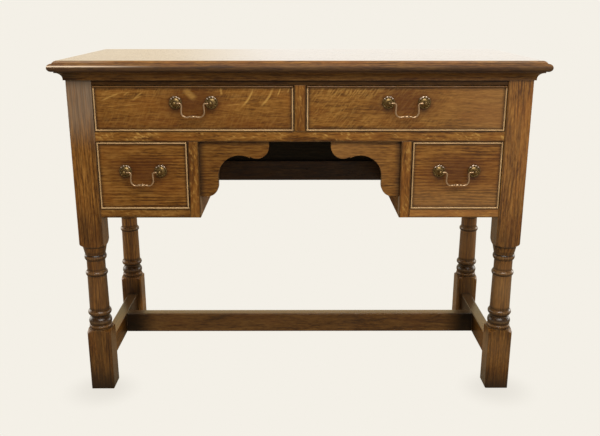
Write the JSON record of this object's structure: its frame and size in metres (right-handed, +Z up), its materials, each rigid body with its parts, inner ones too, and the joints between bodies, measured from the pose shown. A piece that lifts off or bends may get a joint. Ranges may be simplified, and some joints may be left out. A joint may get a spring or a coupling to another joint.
{
  "type": "lowboy",
  "caption": "Oak lowboy: moulded top, wide drawers above a kneehole with a small drawer each side, brass bail handles, and turned legs tied by an H stretcher.",
  "frame": {"origin": "on the floor, under the middle of the top board", "axes": "+X to the right seen from the front, +Y to the back, +Z up; drawers open towards -Y"},
  "size_m": [1.04, 0.432, 0.762],
  "materials": {
    "oak_polished": "polished brown oak, worn at its edges",
    "oak_bead": "polished oak bead, rubbed light",
    "oak_lining": "bare planed oak",
    "back_board": "dark stained thin board",
    "brass_antique": "tarnished cast brass",
    "steel_screw": "dull steel"
  },
  "bodies": {
    "carcass": {"top_board": "oak_polished", "cove_moulding": "oak_polished", "front_left_leg": "oak_polished", "front_right_leg": "oak_polished", "rear_left_leg": "oak_polished", "rear_right_leg": "oak_polished", "left_side_panel": "oak_polished", "right_side_panel": "oak_polished", "back_panel": "back_board", "back_top_rail": "oak_polished", "back_middle_rail": "oak_polished", "back_bottom_rail": "oak_polished", "top_rail": "oak_polished", "middle_rail": "oak_polished", "drawer_divider": "oak_polished", "left_stile": "oak_polished", "right_stile": "oak_polished", "left_bottom_rail": "oak_polished", "right_bottom_rail": "oak_polished", "left_kneehole_panel": "oak_polished", "right_kneehole_panel": "oak_polished", "left_apron": "oak_polished", "right_apron": "oak_polished", "left_stretcher": "oak_polished", "right_stretcher": "oak_polished", "cross_stretcher": "oak_polished", "drawer_runners": "oak_lining", "top_screws": "steel_screw"},
    "upper_left_drawer": {"upper_left_drawer_front": "oak_polished", "upper_left_drawer_left_side": "oak_lining", "upper_left_drawer_right_side": "oak_lining", "upper_left_drawer_back": "oak_lining", "upper_left_drawer_bottom": "oak_lining", "upper_left_cock_bead": "oak_bead", "upper_left_handle_posts": "brass_antique"},
    "upper_left_bail": {"upper_left_handle_bail": "brass_antique"},
    "upper_right_drawer": {"upper_right_drawer_front": "oak_polished", "upper_right_drawer_left_side": "oak_lining", "upper_right_drawer_right_side": "oak_lining", "upper_right_drawer_back": "oak_lining", "upper_right_drawer_bottom": "oak_lining", "upper_right_cock_bead": "oak_bead", "upper_right_handle_posts": "brass_antique"},
    "upper_right_bail": {"upper_right_handle_bail": "brass_antique"},
    "lower_left_drawer": {"lower_left_drawer_front": "oak_polished", "lower_left_drawer_left_side": "oak_lining", "lower_left_drawer_right_side": "oak_lining", "lower_left_drawer_back": "oak_lining", "lower_left_drawer_bottom": "oak_lining", "lower_left_cock_bead": "oak_bead", "lower_left_handle_posts": "brass_antique"},
    "lower_left_bail": {"lower_left_handle_bail": "brass_antique"},
    "lower_right_drawer": {"lower_right_drawer_front": "oak_polished", "lower_right_drawer_left_side": "oak_lining", "lower_right_drawer_right_side": "oak_lining", "lower_right_drawer_back": "oak_lining", "lower_right_drawer_bottom": "oak_lining", "lower_right_cock_bead": "oak_bead", "lower_right_handle_posts": "brass_antique"},
    "lower_right_bail": {"lower_right_handle_bail": "brass_antique"}
  },
  "joints": [
    {"name": "upper_left_drawer_slide", "type": "slide", "parent": "carcass", "child": "upper_left_drawer", "axis": [0, -1, 0], "range_m": [0, 0.28]},
    {"name": "upper_left_bail_hinge", "type": "hinge", "parent": "upper_left_drawer", "child": "upper_left_bail", "pos_m": [-0.22535, -0.2025, 0.6742], "axis": [-1, 0, 0], "range_deg": [-25, 155]},
    {"name": "upper_right_drawer_slide", "type": "slide", "parent": "carcass", "child": "upper_right_drawer", "axis": [0, -1, 0], "range_m": [0, 0.28]},
    {"name": "upper_right_bail_hinge", "type": "hinge", "parent": "upper_right_drawer", "child": "upper_right_bail", "pos_m": [0.22535, -0.2025, 0.6742], "axis": [-1, 0, 0], "range_deg": [-25, 155]},
    {"name": "lower_left_drawer_slide", "type": "slide", "parent": "carcass", "child": "lower_left_drawer", "axis": [0, -1, 0], "range_m": [0, 0.28]},
    {"name": "lower_left_bail_hinge", "type": "hinge", "parent": "lower_left_drawer", "child": "lower_left_bail", "pos_m": [-0.34, -0.2025, 0.5264], "axis": [-1, 0, 0], "range_deg": [-25, 155]},
    {"name": "lower_right_drawer_slide", "type": "slide", "parent": "carcass", "child": "lower_right_drawer", "axis": [0, -1, 0], "range_m": [0, 0.28]},
    {"name": "lower_right_bail_hinge", "type": "hinge", "parent": "lower_right_drawer", "child": "lower_right_bail", "pos_m": [0.34, -0.2025, 0.5264], "axis": [-1, 0, 0], "range_deg": [-25, 155]}
  ]
}
